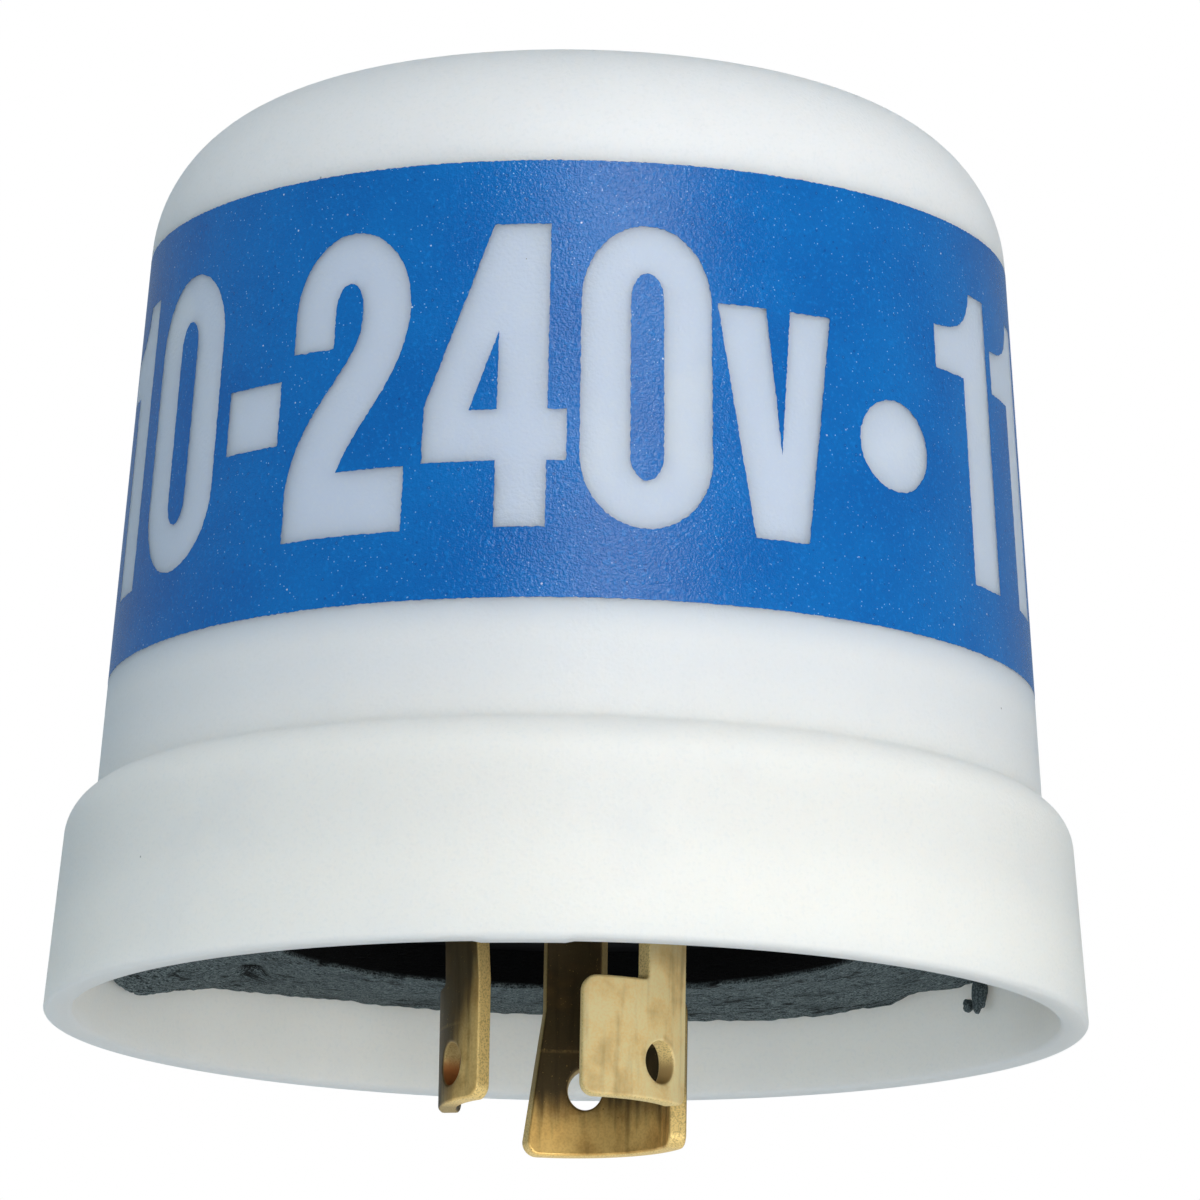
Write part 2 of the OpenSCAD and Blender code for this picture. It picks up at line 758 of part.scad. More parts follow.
module sensor_holder() {
    stalk_r = stalk_d / 2;
    bore_r = stalk_r - holder_wall;
    cup_r = cup_d / 2;
    cell_r = sensor_d / 2 + cell_gap;
    color([0.9, 0.9, 0.88])
        rotate_extrude()
            polygon([[bore_r, board_top], [stalk_r + holder_wall, board_top],
                [stalk_r, board_top + stalk_foot_h], [stalk_r, cup_z - cup_r + stalk_r],
                [cup_r, cup_z], [cup_r, sensor_top],
                [cell_r, sensor_top], [cell_r, sensor_z], [bore_r, sensor_z]]);
}

dome_cover();
printed_band();
gasket();
base_plate();
line_blade();
load_blade();
neutral_blade();
circuit_board();
board_screws();
solder_joints();
relay();
film_capacitor();
smoothing_capacitor();
timing_capacitor();
surge_varistor();
rectifier_diodes();
zener_diode();
resistors();
inrush_resistor();
switching_transistor();
light_sensor();
sensor_holder();
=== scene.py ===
"""Looks of a locking photocell switch for a street light: a milky moulded cover with a printed band
of numerals, a torn foam gasket, a black base and three stained brass blades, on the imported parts."""
import math

import bmesh
import bpy
from mathutils import Matrix, Vector, noise


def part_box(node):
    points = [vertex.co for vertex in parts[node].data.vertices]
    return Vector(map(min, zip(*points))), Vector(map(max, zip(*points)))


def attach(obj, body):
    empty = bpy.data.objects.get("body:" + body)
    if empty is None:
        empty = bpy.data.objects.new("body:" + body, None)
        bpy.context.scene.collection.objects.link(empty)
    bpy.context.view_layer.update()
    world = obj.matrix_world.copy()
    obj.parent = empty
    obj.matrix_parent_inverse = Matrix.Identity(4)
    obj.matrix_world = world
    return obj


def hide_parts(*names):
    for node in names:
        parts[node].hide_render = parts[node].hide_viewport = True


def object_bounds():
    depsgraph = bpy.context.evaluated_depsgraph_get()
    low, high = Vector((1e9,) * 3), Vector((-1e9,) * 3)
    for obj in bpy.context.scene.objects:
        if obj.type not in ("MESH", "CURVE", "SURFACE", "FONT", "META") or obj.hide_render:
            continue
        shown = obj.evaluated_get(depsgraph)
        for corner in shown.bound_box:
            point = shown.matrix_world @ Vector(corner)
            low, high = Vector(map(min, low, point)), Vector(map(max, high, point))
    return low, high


def rgb(red, green, blue):
    """A linear colour from display values of 0 to 255."""
    shares = [value / 255 for value in (red, green, blue)]
    linear = [s / 12.92 if s < 0.04045 else ((s + 0.055) / 1.055) ** 2.4 for s in shares]
    return (*linear, 1.0)


MM = 0.001
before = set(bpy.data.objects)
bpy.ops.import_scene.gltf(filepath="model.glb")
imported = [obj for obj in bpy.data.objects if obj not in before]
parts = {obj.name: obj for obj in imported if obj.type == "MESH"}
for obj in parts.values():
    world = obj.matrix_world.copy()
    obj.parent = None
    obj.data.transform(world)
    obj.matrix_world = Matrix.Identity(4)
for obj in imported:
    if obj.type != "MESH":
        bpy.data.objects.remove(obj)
cad_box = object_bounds()

# Distances within which points are merged or a cut snaps to them
MERGE = 1e-7
INK_MERGE = 1e-6
CUT_SNAP = 1e-8

# Cover
COVER_LOW, COVER_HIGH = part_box("dome_cover")
RIM_Z = COVER_LOW.z
CROWN_TOP = COVER_HIGH.z
RIM_R = 42 * MM
SKIRT_TOP = RIM_Z + 17.9 * MM
SKIRT_DRAFT = math.radians(5)
SKIRT_WALL = 2.3 * MM
SHOULDER_R = 4 * MM
SHOULDER_FILLET = 0.5 * MM
LEDGE_Z = SKIRT_TOP - 2.5 * MM
DOME_STEP = 2.2 * MM
DOME_DRAFT = math.radians(4)
DOME_WALL = 2.1 * MM
CORNER_R = 12.2 * MM
CROWN_R = 184 * MM
RIM_EDGE = 0.4 * MM
COVER_STEPS = 360
CROWN_STEPS, CORNER_STEPS = 10, 24
FILLET_STEPS, SHOULDER_STEPS = 6, 16

# Gate mark on the near rim
GATE_FROM, GATE_TO = -6.5 * MM, 0.2 * MM
GATE_DROP = 0.14 * MM

# Tones of the cover's plastic and the heights over which they change
SKIRT_WHITE = rgb(244, 239, 232)
# Painted shade: the lower dome darker than the skirt
DOME_PAINTED_SHADE = rgb(230, 231, 233)
# Painted light: the crown lighter than the lower dome
CROWN_PAINTED_LIGHT = rgb(246, 242, 242)
# Painted shade on the rim's face
RIM_PAINTED_SHADE = rgb(224, 223, 221)
# Painted shade on the plastic behind the ink, seen in the numerals
BEHIND_INK_SHADE = rgb(194, 205, 225)
# Painted shade on the plastic just under the band's lower edge
UNDER_INK_SHADE = rgb(208, 216, 228)
CLOUD_GREY = rgb(222, 227, 230)
GRAIN_GREY = rgb(214, 218, 221)
DIRT_GREY = rgb(126, 124, 118)
SKIRT_FADE = 8 * MM, 16 * MM
RIM_FADE = 0.5 * MM
INK_FADE = 1 * MM
UNDER_INK_FROM, UNDER_INK_TO = 3.2 * MM, 0.5 * MM
SCATTER = 5.5 * MM
SCATTER_SHARES = (1.0, 0.9, 0.82)

# Printed band
BAND_LOW, BAND_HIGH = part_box("printed_band")[0].z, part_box("printed_band")[1].z
INK_LIFT = 0.02 * MM
INK_T = 0.05 * MM
INK_STEPS = 120
BAND_START = -200
DIGIT_BASE = 25.5 * MM
BOWL_STEPS, EYE_STEPS = 24, 14
RAGGED_STEP = 0.15 * MM
RAGGED_DEPTH = 0.075 * MM
RAGGED_COARSE, RAGGED_FINE = 1.3 * MM, 0.3 * MM
COARSE_SHARE = 0.35
RAGGED_SEED = 1

# Tones of the ink
INK_BLUE = rgb(0, 93, 170)
PATCH_BLUE = rgb(2, 104, 181)
DEEP_BLUE = rgb(2, 74, 150)
GRAIN_BLUE = rgb(8, 118, 198)
PIT_BLUE = rgb(4, 66, 138)
PIT_FLOOR_BLUE = rgb(60, 138, 204)
# Painted glints
PAINTED_GLINT_BLUE = rgb(130, 182, 226)
PINHOLE_WHITE = rgb(196, 214, 232)

# Gasket
GASKET_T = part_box("gasket")[1].z
GASKET_R = 38.55 * MM
GASKET_HOLE_R = 25 * MM
GASKET_STEPS = 1200
FACE_CUTS, EDGE_CUTS = 24, 6
TOP_CUT_EVERY = 4
SAG_FROM = 29 * MM
PIT = Vector((-26.4, 18.6, 0)) * MM
PIT_SHAPE = Vector((1, 0.4, 0))
PIT_R = 1.0 * MM
PIT_DEPTH = 1.3 * MM
TEAR_TURN, TEAR_WIDTH, TEAR_DEPTH = 38, 4, 1.2 * MM
EDGE_TRIM = 0.2 * MM
HOLE_EDGE_SHARE = 0.5
SHRED_GAP = 0.05 * MM
SHRED_SHAKE, SHRED_LUMPS = 0.35, 3

# Each sag: its middle and its half width in degrees round the ring, and its depth
SAGS = [(61, 20, 0.9 * MM), (160.5, 15.7, 2.75 * MM)]

# Each shred: degrees round the skirt, its height, and its size through the wall, along it and upwards
SHREDS = [(27.5, -0.95 * MM, Vector((1.0, 1.9, 3.2)) * MM),
          (30.4, -1.75 * MM, Vector((0.8, 1.1, 1.1)) * MM)]

# Layers of roughness on the foam: the width of the lumps and how far they stand out
EDGE_ROUGHNESS = [(3.2 * MM, 0.2 * MM), (0.7 * MM, 0.16 * MM)]
FACE_ROUGHNESS = [(3.5 * MM, 0.16 * MM), (0.9 * MM, 0.1 * MM)]

# Tones of the foam
FOAM_DARK, FOAM_PALE = rgb(29, 36, 38), rgb(130, 143, 145)
CLUMP_GREY = rgb(48, 56, 58)
CRACK_GREY = rgb(12, 15, 16)
LINT_GREY = rgb(170, 178, 178)
# Painted shade in the pit and on the wall of the hole
PIT_PAINTED_SHADE = rgb(8, 10, 11)
HOLE_PAINTED_SHADE = rgb(3, 4, 5)
HOLE_SHADE_ACROSS, HOLE_SHADE_UP = 0.9 * MM, 0.5 * MM

# Blades, drawn flat along their outer arc
BLADE_R = 10.15 * MM
BLADE_T = 1.5 * MM
BLADE_TURNS = {"line_blade": -34, "neutral_blade": 86, "load_blade": 206}
STEM_W = 5.4 * MM
FOOT_W, NEUTRAL_FOOT_W = 11.3 * MM, 15.6 * MM
FOOT_TOP = -4.4 * MM
FOOT_LOW, NEUTRAL_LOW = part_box("line_blade")[0].z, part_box("neutral_blade")[0].z
NEUTRAL_FLARE = 1.6 * MM
FOOT_CORNER = 1.2 * MM
STEM_CORNER = 0.45 * MM
HOLE_D = 3.4 * MM
HOLE_IN = 3.9 * MM
HOLE_Z = -10.9 * MM
EAR_W, EAR_H = 0.9 * MM, 1.6 * MM
EAR_Z = 5.3 * MM
HUB_Z = 9 * MM
TAIL_W = 3.2 * MM
TAIL_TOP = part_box("line_blade")[1].z
BLADE_LEANS = {"line_blade": 0, "neutral_blade": 0, "load_blade": 5.5}
LEAN_TOP, LEAN_LOW = 4 * MM, -3 * MM
# Height of a thin line across the blades
LINE_Z = -7.8 * MM
BLADE_EDGE = 0.22 * MM
BLADE_CUT = 0.4 * MM
FOOT_STEPS, STEM_STEPS, HOLE_STEPS = 8, 5, 48

# Tones of the brass; each blade has a pair of its own and a colour for the wall of its hole
CREAM_BRASS = rgb(255, 234, 174), rgb(255, 218, 146)
PALE_BRASS = rgb(240, 206, 132), rgb(214, 174, 100)
WARM_BRASS = rgb(246, 206, 126), rgb(214, 168, 94)
COPPER_BORE, STRAW_BORE = rgb(182, 118, 66), rgb(196, 166, 112)
DULL_BRASS = rgb(142, 108, 56)
OLIVE_DARK, OLIVE_PALE = rgb(46, 40, 27), rgb(98, 78, 45)
PALE_GRAIN = rgb(186, 156, 92)
LINE_BRASS = rgb(160, 134, 84)
PIT_BROWN = rgb(74, 58, 34)
SHEARED_BRASS = rgb(255, 226, 152)
GRIT_BROWN = rgb(126, 98, 52)

# Circuit board
WEAVE = 1.6 * MM
BOARD_GREEN, WEAVE_GREEN = rgb(30, 84, 48), rgb(42, 104, 60)
TRACK_GREEN = rgb(70, 128, 66)

# Stage
PHOTO_PX = 1200
FOCAL_PX = 6826.9
SENSOR = 36.0
CAMERA_AT = Vector((2.2, -543.6, -93.1)) * MM
CAMERA_RIGHT = Vector((0.99988, -0.00342, 0.01533))
CAMERA_AHEAD = Vector((0.0, 0.9760, 0.2176))
CAMERA_NEAR, CAMERA_FAR = 0.01, 100
AMBIENT = 0.28
AMBIENT_BLUE = (0.74, 0.91, 1.0, 1.0)
WHITE = (1.0, 1.0, 1.0, 1.0)
GLOSSY_WHITE = 0.08
FLOOR_WHITE = 0.75
FLOOR_PAINT = (0.9, 0.9, 0.9, 1.0)
FLOOR_Z = -0.9
FLOOR_SIZE = 12.0
LAMP_DISTANCE = 1.0
WARM_LIGHT = (1.0, 0.985, 0.965)
COOL_LIGHT = (0.84, 0.94, 1.0)
AMBER_LIGHT = (1.0, 0.945, 0.88)


# Shader fields
class Field:
    """A socket in a node tree; arithmetic on it adds Math nodes."""

    def __init__(self, look, socket):
        self.look = look
        self.socket = socket

    def math(self, operation, *others):
        inputs = dict(enumerate((self, *others)))
        return self.look.node("ShaderNodeMath", {"operation": operation}, inputs)

    def __add__(self, other):
        return self.math("ADD", other)

    __radd__ = __add__

    def __mul__(self, other):
        return self.math("MULTIPLY", other)

    __rmul__ = __mul__

    def __sub__(self, other):
        return self.math("SUBTRACT", other)

    def __rsub__(self, other):
        return self.look.node("ShaderNodeMath", {"operation": "SUBTRACT"}, {0: other, 1: self})

    def __lt__(self, other):
        return self.math("LESS_THAN", other)

    def __abs__(self):
        return self.math("ABSOLUTE")

    def ramp(self, low, high):
        """0 below low, 1 above high and a smooth step between them."""
        return self.look.node("ShaderNodeMapRange", {"interpolation_type": "SMOOTHSTEP"},
                              {"Value": self, "From Min": low, "From Max": high})


class Nodes:
    """A node tree under construction."""

    def __init__(self, tree):
        self.tree = tree

    def node(self, kind, settings=None, inputs=None, out=0):
        """Adds a node of any kind: its settings first, then values or links for its inputs."""
        made = self.tree.nodes.new(kind)
        for name, value in (settings or {}).items():
            setattr(made, name, value)
        for name, value in (inputs or {}).items():
            self.feed(made.inputs[name], value)
        return Field(self, made.outputs[out])

    def feed(self, socket, value):
        """Links a field to a socket, or sets a plain value on it."""
        if isinstance(value, Field):
            self.tree.links.new(value.socket, socket)
        else:
            socket.default_value = value

    def seen(self, glossy):
        """1 for rays from the camera or through clear parts, and a share of it for reflections."""
        camera, clear, mirror = (self.node("ShaderNodeLightPath", out=f"Is {kind} Ray")
                                 for kind in ("Camera", "Transmission", "Glossy"))
        return camera.math("MAXIMUM", clear).math("MAXIMUM", mirror * glossy)


class Look(Nodes):
    """A material under construction on a Principled shader."""

    def __init__(self, name):
        self.material = bpy.data.materials.new(name)
        self.material.use_nodes = True
        super().__init__(self.material.node_tree)
        self.shader = self.tree.nodes["Principled BSDF"]
        self.place = self.node("ShaderNodeTexCoord", out="Object")

    def axis(self, name, source=None):
        """One coordinate of a place on the surface."""
        return self.node("ShaderNodeSeparateXYZ", inputs={"Vector": source or self.place}, out=name)

    def stretched(self, scale, source=None):
        """Coordinates scaled along each axis; a small scale draws a pattern out."""
        return self.node("ShaderNodeMapping", inputs={"Vector": source or self.place, "Scale": scale})

    def noise(self, size, detail=2.0, source=None):
        """Soft noise with features of about the given size in metres."""
        inputs = {"Vector": source or self.place, "Scale": 1 / size, "Detail": detail}
        return self.node("ShaderNodeTexNoise", inputs=inputs)

    def specks(self, spacing, radius, share):
        """Round specks in a share of the cells of a Voronoi pattern."""
        cell = {"Vector": self.place, "Scale": 1 / spacing}
        distance = self.node("ShaderNodeTexVoronoi", inputs=cell)
        chance = self.axis("X", self.node("ShaderNodeTexVoronoi", inputs=cell, out="Color"))
        return (distance < radius / spacing) * (chance < share)

    def mix(self, first, second, factor):
        """The first colour where the factor is 0, and the second where it is 1."""
        inputs = {0: factor, 6: first, 7: second}
        return self.node("ShaderNodeMix", {"data_type": "RGBA"}, inputs, out=2)

    def layers(self, ground, *coats):
        """A ground colour with coats over it, each a colour and the mask that it shows in."""
        for colour, mask in coats:
            ground = self.mix(ground, colour, mask)
        return ground

    def measure(self, operation, *vectors):
        """The length of a vector, or the distance between two."""
        settings = {"operation": operation}
        return self.node("ShaderNodeVectorMath", settings, dict(enumerate(vectors)), out="Value")

    def bump(self, height, distance, strength=1.0):
        """A normal from a height field, which is worth the given distance in metres."""
        inputs = {"Height": height, "Distance": distance, "Strength": strength}
        return self.node("ShaderNodeBump", inputs=inputs)

    def set(self, **inputs):
        """Feeds the shader's inputs; an underscore in a name stands for a space."""
        for name, value in inputs.items():
            self.feed(self.shader.inputs[name.replace("_", " ")], value)
        return self.material


# Shape helpers
def arc(centre, radii, start, end, steps):
    """Points on a circle or an ellipse, from one angle to another in degrees."""
    turns = [math.radians(start + (end - start) * i / steps) for i in range(steps + 1)]
    return [(centre[0] + radii[0] * math.cos(t), centre[1] + radii[1] * math.sin(t)) for t in turns]


def circle(centre, radius, steps):
    """Points once round a circle."""
    return arc(centre, (radius, radius), 0, 360, steps)[:-1]


def curve(a, b, c, d, steps=10):
    """Points on a cubic curve with two handles."""
    shares = [i / steps for i in range(steps + 1)]
    weights = [((1 - t) ** 3, 3 * t * (1 - t) ** 2, 3 * t * t * (1 - t), t ** 3) for t in shares]
    return [tuple(sum(w * p[k] for w, p in zip(ws, (a, b, c, d))) for k in (0, 1)) for ws in weights]


def lathe(outline, steps):
    """A bmesh of revolution about Z from (radius, height) points."""
    bm = bmesh.new()
    points = [bm.verts.new((x, 0, z)) for x, z in outline]
    edges = [bm.edges.new(pair) for pair in zip(points, points[1:])]
    bmesh.ops.spin(bm, geom=points + edges, cent=(0, 0, 0), axis=(0, 0, 1), dvec=(0, 0, 0),
                   angle=math.tau, steps=steps, use_merge=True)
    bmesh.ops.remove_doubles(bm, verts=bm.verts, dist=MERGE)
    bmesh.ops.recalc_face_normals(bm, faces=bm.faces)
    return bm


def edges_of_ring(bm, radius, height):
    """The edges of the ring at a radius and a height."""
    close = 0.02 * MM

    def on_ring(v):
        return abs(v.co.z - height) < close and abs(v.co.to_2d().length - radius) < close

    return [e for e in bm.edges if on_ring(e.verts[0]) and on_ring(e.verts[1])]


def flat_sheet(outlines, thickness=0.0, edge=0.0):
    """A bmesh of a flat sheet in XY with holes, from closed outlines; its edges may be rounded."""
    drawing = bpy.data.curves.new("drawing", "CURVE")
    drawing.dimensions = "2D"
    drawing.fill_mode = "BOTH" if thickness else "FRONT"
    drawing.extrude = thickness / 2 - edge
    drawing.bevel_depth = edge
    drawing.bevel_resolution = 2
    drawing.offset = -edge
    for outline in outlines:
        spline = drawing.splines.new("POLY")
        spline.points.add(len(outline) - 1)
        for point, (x, y) in zip(spline.points, outline):
            point.co = (x, y, 0, 1)
        spline.use_cyclic_u = True
    holder = bpy.data.objects.new("drawing", drawing)
    bpy.context.scene.collection.objects.link(holder)
    shaped = holder.evaluated_get(bpy.context.evaluated_depsgraph_get())
    mesh = bpy.data.meshes.new_from_object(shaped)
    bm = bmesh.new()
    bm.from_mesh(mesh)
    bpy.data.objects.remove(holder)
    bpy.data.curves.remove(drawing)
    bpy.data.meshes.remove(mesh)
    bmesh.ops.remove_doubles(bm, verts=bm.verts, dist=MERGE)
    return bm


def slice_along_x(bm, step):
    """Cuts a sheet at regular steps along X, so that it can be rolled."""
    low = min(v.co.x for v in bm.verts)
    high = max(v.co.x for v in bm.verts)
    for i in range(1, math.ceil((high - low) / step)):
        everything = bm.verts[:] + bm.edges[:] + bm.faces[:]
        bmesh.ops.bisect_plane(bm, geom=everything, plane_co=(low + i * step, 0, 0), plane_no=(1, 0, 0),
                               dist=CUT_SNAP)


def make_piece(bm, name, material, node, sharp):
    """Turns a bmesh into a piece that stands for a CAD node, sharp at edges past an angle."""
    mesh = bpy.data.meshes.new(name)
    bm.to_mesh(mesh)
    bm.free()
    mesh.shade_smooth()
    mesh.set_sharp_from_angle(angle=math.radians(sharp))
    mesh.materials.append(material)
    made = bpy.data.objects.new(name, mesh)
    bpy.context.scene.collection.objects.link(made)
    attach(made, "root")
    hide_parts(node)
    return made


# Cover
def skirt_at(z, inset=0.0):
    """Radius of the skirt's outer face at a height, or of a face inside it."""
    return RIM_R - (z - RIM_Z) * math.tan(SKIRT_DRAFT) - inset / math.cos(SKIRT_DRAFT)


def dome_at(z, inset=0.0):
    """Radius of the dome's outer face at a height, or of a face inside it."""
    foot = skirt_at(SKIRT_TOP) - DOME_STEP
    return foot - (z - SKIRT_TOP) * math.tan(DOME_DRAFT) - inset / math.cos(DOME_DRAFT)


def corner_centre():
    """Centre of the dome's round corner, a corner radius inside its wall and inside its crown."""
    crown_z = CROWN_TOP - CROWN_R
    lean = math.tan(DOME_DRAFT)
    foot = dome_at(0, CORNER_R)
    half = foot * lean + crown_z
    square = 1 + lean * lean
    span = foot * foot + crown_z * crown_z - (CROWN_R - CORNER_R) ** 2
    z = (half + math.sqrt(half * half - square * span)) / square
    return foot - lean * z, z


def dome_arcs(inset):
    """The crown and the corner at an inset from the outer face, from the axis outwards."""
    x, z = corner_centre()
    crown_z = CROWN_TOP - CROWN_R
    turn = math.degrees(math.atan2(z - crown_z, x))
    crown = arc((0, crown_z), (CROWN_R - inset,) * 2, 90, turn, CROWN_STEPS)
    corner = arc((x, z), (CORNER_R - inset,) * 2, turn, math.degrees(DOME_DRAFT), CORNER_STEPS)
    return [(0, CROWN_TOP - inset)] + crown[1:] + corner[1:]


def shoulder_arcs():
    """The small round in the corner at the dome's foot, and the shoulder from there to the skirt."""
    outward = Vector((math.cos(DOME_DRAFT), math.sin(DOME_DRAFT)))
    along = outward.orthogonal()
    shoulder_z = SKIRT_TOP - SHOULDER_R
    shoulder = Vector((skirt_at(shoulder_z, SHOULDER_R), shoulder_z))
    foot = Vector((dome_at(SKIRT_TOP), SKIRT_TOP)) + outward * SHOULDER_FILLET
    gap = foot - shoulder
    rise = gap.dot(along)
    reach = SHOULDER_R + SHOULDER_FILLET
    centre = foot + along * (math.sqrt(rise * rise - gap.length_squared + reach * reach) - rise)
    meet = math.degrees(math.atan2(*(centre - shoulder).yx))
    start, end = math.degrees(DOME_DRAFT), math.degrees(SKIRT_DRAFT)
    fillet = arc(centre, (SHOULDER_FILLET,) * 2, 180 + start, 180 + meet, FILLET_STEPS)
    return fillet + arc(shoulder, (SHOULDER_R,) * 2, meet, end, SHOULDER_STEPS)[1:]


def cover(material):
    """Dome and skirt as one shell, with rounded rim edges and a gate mark on the near rim."""
    rim = [(RIM_R, RIM_Z), (skirt_at(RIM_Z, SKIRT_WALL), RIM_Z)]
    ledge = [(skirt_at(LEDGE_Z, SKIRT_WALL), LEDGE_Z), (dome_at(LEDGE_Z, DOME_WALL), LEDGE_Z)]
    bm = lathe(dome_arcs(0) + shoulder_arcs() + rim + ledge + dome_arcs(DOME_WALL)[::-1], COVER_STEPS)
    at_rim = edges_of_ring(bm, *rim[0]) + edges_of_ring(bm, *rim[1])
    bmesh.ops.bevel(bm, geom=at_rim, offset=RIM_EDGE, segments=4, profile=0.5, material=-1,
                    affect="EDGES")
    for v in bm.verts:
        if v.co.z < RIM_Z + 1.5 * RIM_EDGE and v.co.y < 0 and GATE_FROM < v.co.x < GATE_TO:
            v.co.z -= GATE_DROP
    make_piece(bm, "milky_cover", material, "dome_cover", sharp=35)


def cover_plastic():
    """Milky plastic, grained and specked, with painted shade on the lower dome, the rim and by the ink,
    painted light on the crown.
    """
    look = Look("milky_plastic")
    grain = look.noise(0.3 * MM, 3.0)
    cloud = look.noise(11 * MM, 4.0)
    dirt = look.specks(4.2 * MM, 0.1 * MM, 0.2)
    height = look.axis("Z")
    crown = height.ramp(BAND_HIGH - INK_FADE, BAND_HIGH)
    # band: where the painted shade behind the ink lies
    band = height.ramp(BAND_LOW, BAND_LOW + INK_FADE) * (1 - crown)
    # The next two lines place the painted shade just under the band's lower edge
    below = 1 - height.ramp(BAND_LOW, BAND_LOW + UNDER_INK_TO)
    under_ink_shade = height.ramp(BAND_LOW - UNDER_INK_FROM, BAND_LOW) * below
    # Painted light on the crown, painted shade on the lower dome, the rim's face and by the ink; cloud,
    # grain and dirt are the plastic's own
    plastic = look.layers(SKIRT_WHITE,
                          (DOME_PAINTED_SHADE, height.ramp(*SKIRT_FADE)),
                          (CROWN_PAINTED_LIGHT, crown),
                          (RIM_PAINTED_SHADE, 1 - height.ramp(RIM_Z, RIM_Z + RIM_FADE)),
                          (BEHIND_INK_SHADE, band),
                          (UNDER_INK_SHADE, under_ink_shade * 0.8),
                          (CLOUD_GREY, cloud.ramp(0.5, 0.8) * 0.35),
                          (GRAIN_GREY, grain.ramp(0.5, 0.72) * 0.14),
                          (DIRT_GREY, dirt * 0.7))
    return look.set(Base_Color=plastic,
                    Roughness=grain * 0.2 + 0.38,
                    Normal=look.bump(grain, 0.06 * MM, 0.8),
                    Subsurface_Weight=1.0,
                    Subsurface_Scale=SCATTER,
                    Subsurface_Radius=SCATTER_SHARES,
                    Specular_IOR_Level=0.3)


# Glyphs as closed outlines, in millimetres from the left end of their foot
def zero(width=10.3, height=24.4, stroke=3.85):
    end = width * 0.58
    middle = width / 2
    loops = []
    for inset, steps in [(0, BOWL_STEPS), (stroke, EYE_STEPS)]:
        radii = middle - inset, end - inset
        top = arc((middle, height - end), radii, 0, 180, steps)
        loops.append(top + arc((middle, end), radii, 180, 360, steps))
    return loops


def one(height=24.2):
    flag = curve((5.9, height), (5.3, 21.6), (3.9, 20.6), (0, 20.5))
    return [[(4.2, 0), (8.8, 0), (8.8, height)] + flag + [(0, 16.9), (4.2, 16.9)]]


def two(height=24.6):
    right = curve((4.7, 5.2), (6.4, 9.6), (10.5, 12.6), (10.5, height - 6.4))
    bowl = arc((5.25, height - 6.4), (5.25, 6.4), 0, 180, BOWL_STEPS)
    hook = [(0, 15.3), (3.85, 15.3)] + arc((5.1, height - 6.2), (1.25, 2.1), 180, 0, EYE_STEPS)
    left = curve((6.35, 17.4), (6.2, 13.4), (0.4, 10.2), (0, 4.2))
    return [[(0, 0), (10.5, 0), (10.5, 5.2)] + right + bowl[1:] + hook + left]


def four(height=24.4):
    outer = [(5.8, 0), (9.7, 0), (9.7, 5.3), (11.2, 5.3), (11.2, 9.4), (9.7, 9.4), (9.7, height),
             (5.2, height), (0, 9.8), (0, 5.3), (5.8, 5.3)]
    return [outer, [(3.6, 9.4), (5.8, 9.4), (5.8, 15.8)]]


def small_v(height=18.6):
    return [[(2.9, 0), (7.4, 0), (9.9, height), (6.2, height), (5.25, 6.9), (4.1, height), (0, height)]]


def dash(low=8.1, high=13.3):
    return [[(0, low), (5.7, low), (5.7, high), (0, high)]]


def dot(radius=3.72, middle=9.3):
    return [circle((radius, middle), radius, BOWL_STEPS)]


# Each glyph with the angle of its left edge, in degrees round the dome
NUMERALS = [(one, -190), (one, -174.5), (zero, -156.7), (dash, -138), (two, -127.3), (four, -108.5),
            (zero, -89.3), (small_v, -72.3), (dot, -52.6)]
REPEATS = [0, 152]


# Printed band
def ragged(points):
    """A line through the points in short shaken steps; its two ends stay where they are."""
    line = []
    for a, b in zip(points, points[1:]):
        start = Vector((*a, 0))
        run = Vector((*b, 0)) - start
        steps = max(round(run.length / RAGGED_STEP), 1)
        line += [start + run * (i / steps) for i in range(steps)]
    shaken = []
    for point in line[1:]:
        coarse = noise.noise_vector(point / RAGGED_COARSE)
        fine = noise.noise_vector(point / RAGGED_FINE)
        shaken.append((point + (coarse * COARSE_SHARE + fine) * RAGGED_DEPTH).to_2d())
    return [points[0], *shaken, points[-1]]


def printed_band(material):
    """A thin skin of ink round the dome with the numerals left open, ragged along its edges.
    Vector noise takes its seed from the clock unless one is set."""
    noise.seed_set(RAGGED_SEED)
    middle = dome_at((BAND_LOW + BAND_HIGH) / 2)
    left, right = (math.radians(turn) * middle for turn in (BAND_START, BAND_START + 360))
    low_edge = ragged([(left, BAND_LOW), (right, BAND_LOW)])
    high_edge = ragged([(right, BAND_HIGH), (left, BAND_HIGH)])
    outlines = [low_edge + high_edge]
    for shift in REPEATS:
        for glyph, turn in NUMERALS:
            at = math.radians(turn + shift) * middle
            loops = [[(at + x * MM, DIGIT_BASE + z * MM) for x, z in loop] for loop in glyph()]
            outlines += [ragged(loop + loop[:1])[:-1] for loop in loops]
    bm = flat_sheet(outlines)
    slice_along_x(bm, math.tau * middle / INK_STEPS)
    for v in bm.verts:
        turn = v.co.x / middle
        radius = dome_at(v.co.y, -INK_LIFT)
        v.co = (radius * math.cos(turn), radius * math.sin(turn), v.co.y)
    bmesh.ops.remove_doubles(bm, verts=bm.verts, dist=INK_MERGE)
    inner = bmesh.ops.extrude_face_region(bm, geom=bm.faces[:])["geom"]
    for v in (part for part in inner if isinstance(part, bmesh.types.BMVert)):
        radius = v.co.to_2d().length
        v.co.xy *= (radius - INK_T) / radius
    bmesh.ops.recalc_face_normals(bm, faces=bm.faces)
    make_piece(bm, "ink_band", material, "printed_band", sharp=30)


